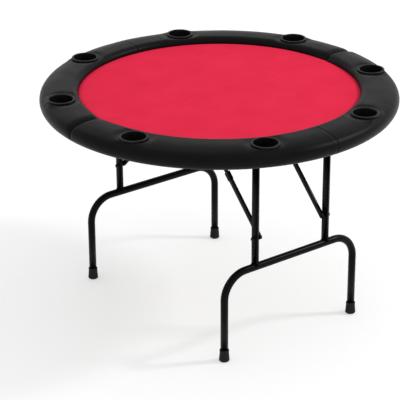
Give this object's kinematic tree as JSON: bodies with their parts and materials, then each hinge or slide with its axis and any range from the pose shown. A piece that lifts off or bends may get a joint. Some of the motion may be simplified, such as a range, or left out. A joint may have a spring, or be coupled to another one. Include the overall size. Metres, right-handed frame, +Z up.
{
  "type": "poker table",
  "caption": "Round folding poker table with a felt top in two halves, a padded rail with cup holders, and folding tube leg frames held by locking knee braces.",
  "frame": {"origin": "on the floor under the middle of the table top", "axes": "+X along the fold seam, +Y towards the back half, +Z up"},
  "size_m": [1.1798, 1.1796, 0.776],
  "materials": {
    "felt": "matte woven speed cloth",
    "wood": "bare fibreboard",
    "foam": "open-cell foam",
    "rail_leather": "satin grained imitation leather",
    "cup_plastic": "satin moulded plastic",
    "leg_coat": "semi-gloss powder coat",
    "bracket_steel": "satin black paint",
    "bolt_steel": "blackened steel",
    "foot_rubber": "moulded rubber",
    "zinc": "zinc-plated steel"
  },
  "bodies": {
    "top": {"front_board": "wood", "front_felt": "felt", "front_rail_core": "wood", "front_rail_foam": "foam", "front_rail_cover": "rail_leather", "front_hinge_leaves": "zinc", "front_pivot_brackets": "bracket_steel", "front_brace_anchors": "bracket_steel", "front_anchor_pins": "zinc", "back_board": "wood", "back_felt": "felt", "back_rail_core": "wood", "back_rail_foam": "foam", "back_rail_cover": "rail_leather", "back_hinge_leaves": "zinc", "back_pivot_brackets": "bracket_steel", "back_brace_anchors": "bracket_steel", "back_anchor_pins": "zinc", "cup_holder_1": "cup_plastic", "cup_holder_2": "cup_plastic", "cup_holder_3": "cup_plastic", "cup_holder_4": "cup_plastic", "cup_holder_5": "cup_plastic", "cup_holder_6": "cup_plastic", "cup_holder_7": "cup_plastic", "cup_holder_8": "cup_plastic", "hinge_pins": "zinc", "underside_screws": "zinc"},
    "leg_front": {"front_leg_loop": "leg_coat", "front_upright_left": "leg_coat", "front_upright_right": "leg_coat", "front_pivot_tube": "leg_coat", "front_foot_left": "foot_rubber", "front_foot_right": "foot_rubber", "front_brace_bolts": "bolt_steel"},
    "brace_upper_front": {"front_brace_strip_left": "leg_coat", "front_brace_strip_right": "leg_coat", "front_knee_pins": "zinc"},
    "brace_lower_front": {"front_brace_channel_left": "leg_coat", "front_brace_channel_right": "leg_coat"},
    "lock_rings_front": {"front_lock_ring_left": "leg_coat", "front_lock_ring_right": "leg_coat"},
    "leg_back": {"back_leg_loop": "leg_coat", "back_upright_left": "leg_coat", "back_upright_right": "leg_coat", "back_pivot_tube": "leg_coat", "back_foot_left": "foot_rubber", "back_foot_right": "foot_rubber", "back_brace_bolts": "bolt_steel"},
    "brace_upper_back": {"back_brace_strip_left": "leg_coat", "back_brace_strip_right": "leg_coat", "back_knee_pins": "zinc"},
    "brace_lower_back": {"back_brace_channel_left": "leg_coat", "back_brace_channel_right": "leg_coat"},
    "lock_rings_back": {"back_lock_ring_left": "leg_coat", "back_lock_ring_right": "leg_coat"}
  },
  "joints": [
    {"name": "leg_front_fold", "type": "hinge", "parent": "top", "child": "leg_front", "pos_m": [0, -0.375, 0.701], "axis": [1, 0, 0], "range_deg": [0, 90]},
    {"name": "brace_front_anchor", "type": "hinge", "parent": "top", "child": "brace_upper_front", "pos_m": [0, -0.05, 0.724], "axis": [1, 0, 0], "range_deg": [-44, 0]},
    {"name": "brace_front_knee", "type": "hinge", "parent": "brace_upper_front", "child": "brace_lower_front", "pos_m": [0, -0.22042, 0.55358], "axis": [1, 0, 0], "range_deg": [0, 175]},
    {"name": "lock_rings_front_slide", "type": "slide", "parent": "brace_upper_front", "child": "lock_rings_front", "axis": [0, 0.7071, 0.7071], "range_m": [0, 0.1901]},
    {"name": "leg_back_fold", "type": "hinge", "parent": "top", "child": "leg_back", "pos_m": [0, 0.375, 0.701], "axis": [-1, 0, 0], "range_deg": [0, 85]},
    {"name": "brace_back_anchor", "type": "hinge", "parent": "top", "child": "brace_upper_back", "pos_m": [0, 0.05, 0.724], "axis": [-1, 0, 0], "range_deg": [-44, 0]},
    {"name": "brace_back_knee", "type": "hinge", "parent": "brace_upper_back", "child": "brace_lower_back", "pos_m": [0, 0.22042, 0.55358], "axis": [-1, 0, 0], "range_deg": [0, 175]},
    {"name": "lock_rings_back_slide", "type": "slide", "parent": "brace_upper_back", "child": "lock_rings_back", "axis": [0, -0.7071, 0.7071], "range_m": [0, 0.1901]}
  ],
  "couplings": [
    {"joint": "brace_front_anchor", "follows": "leg_front_fold", "ratio": -0.48448},
    {"joint": "brace_front_knee", "follows": "leg_front_fold", "ratio": 1.9346},
    {"joint": "lock_rings_front_slide", "follows": "leg_front_fold", "m_per_rad": 0.12096},
    {"joint": "brace_back_anchor", "follows": "leg_back_fold", "ratio": -0.48115},
    {"joint": "brace_back_knee", "follows": "leg_back_fold", "ratio": 1.9701},
    {"joint": "lock_rings_back_slide", "follows": "leg_back_fold", "m_per_rad": 0.12807}
  ]
}
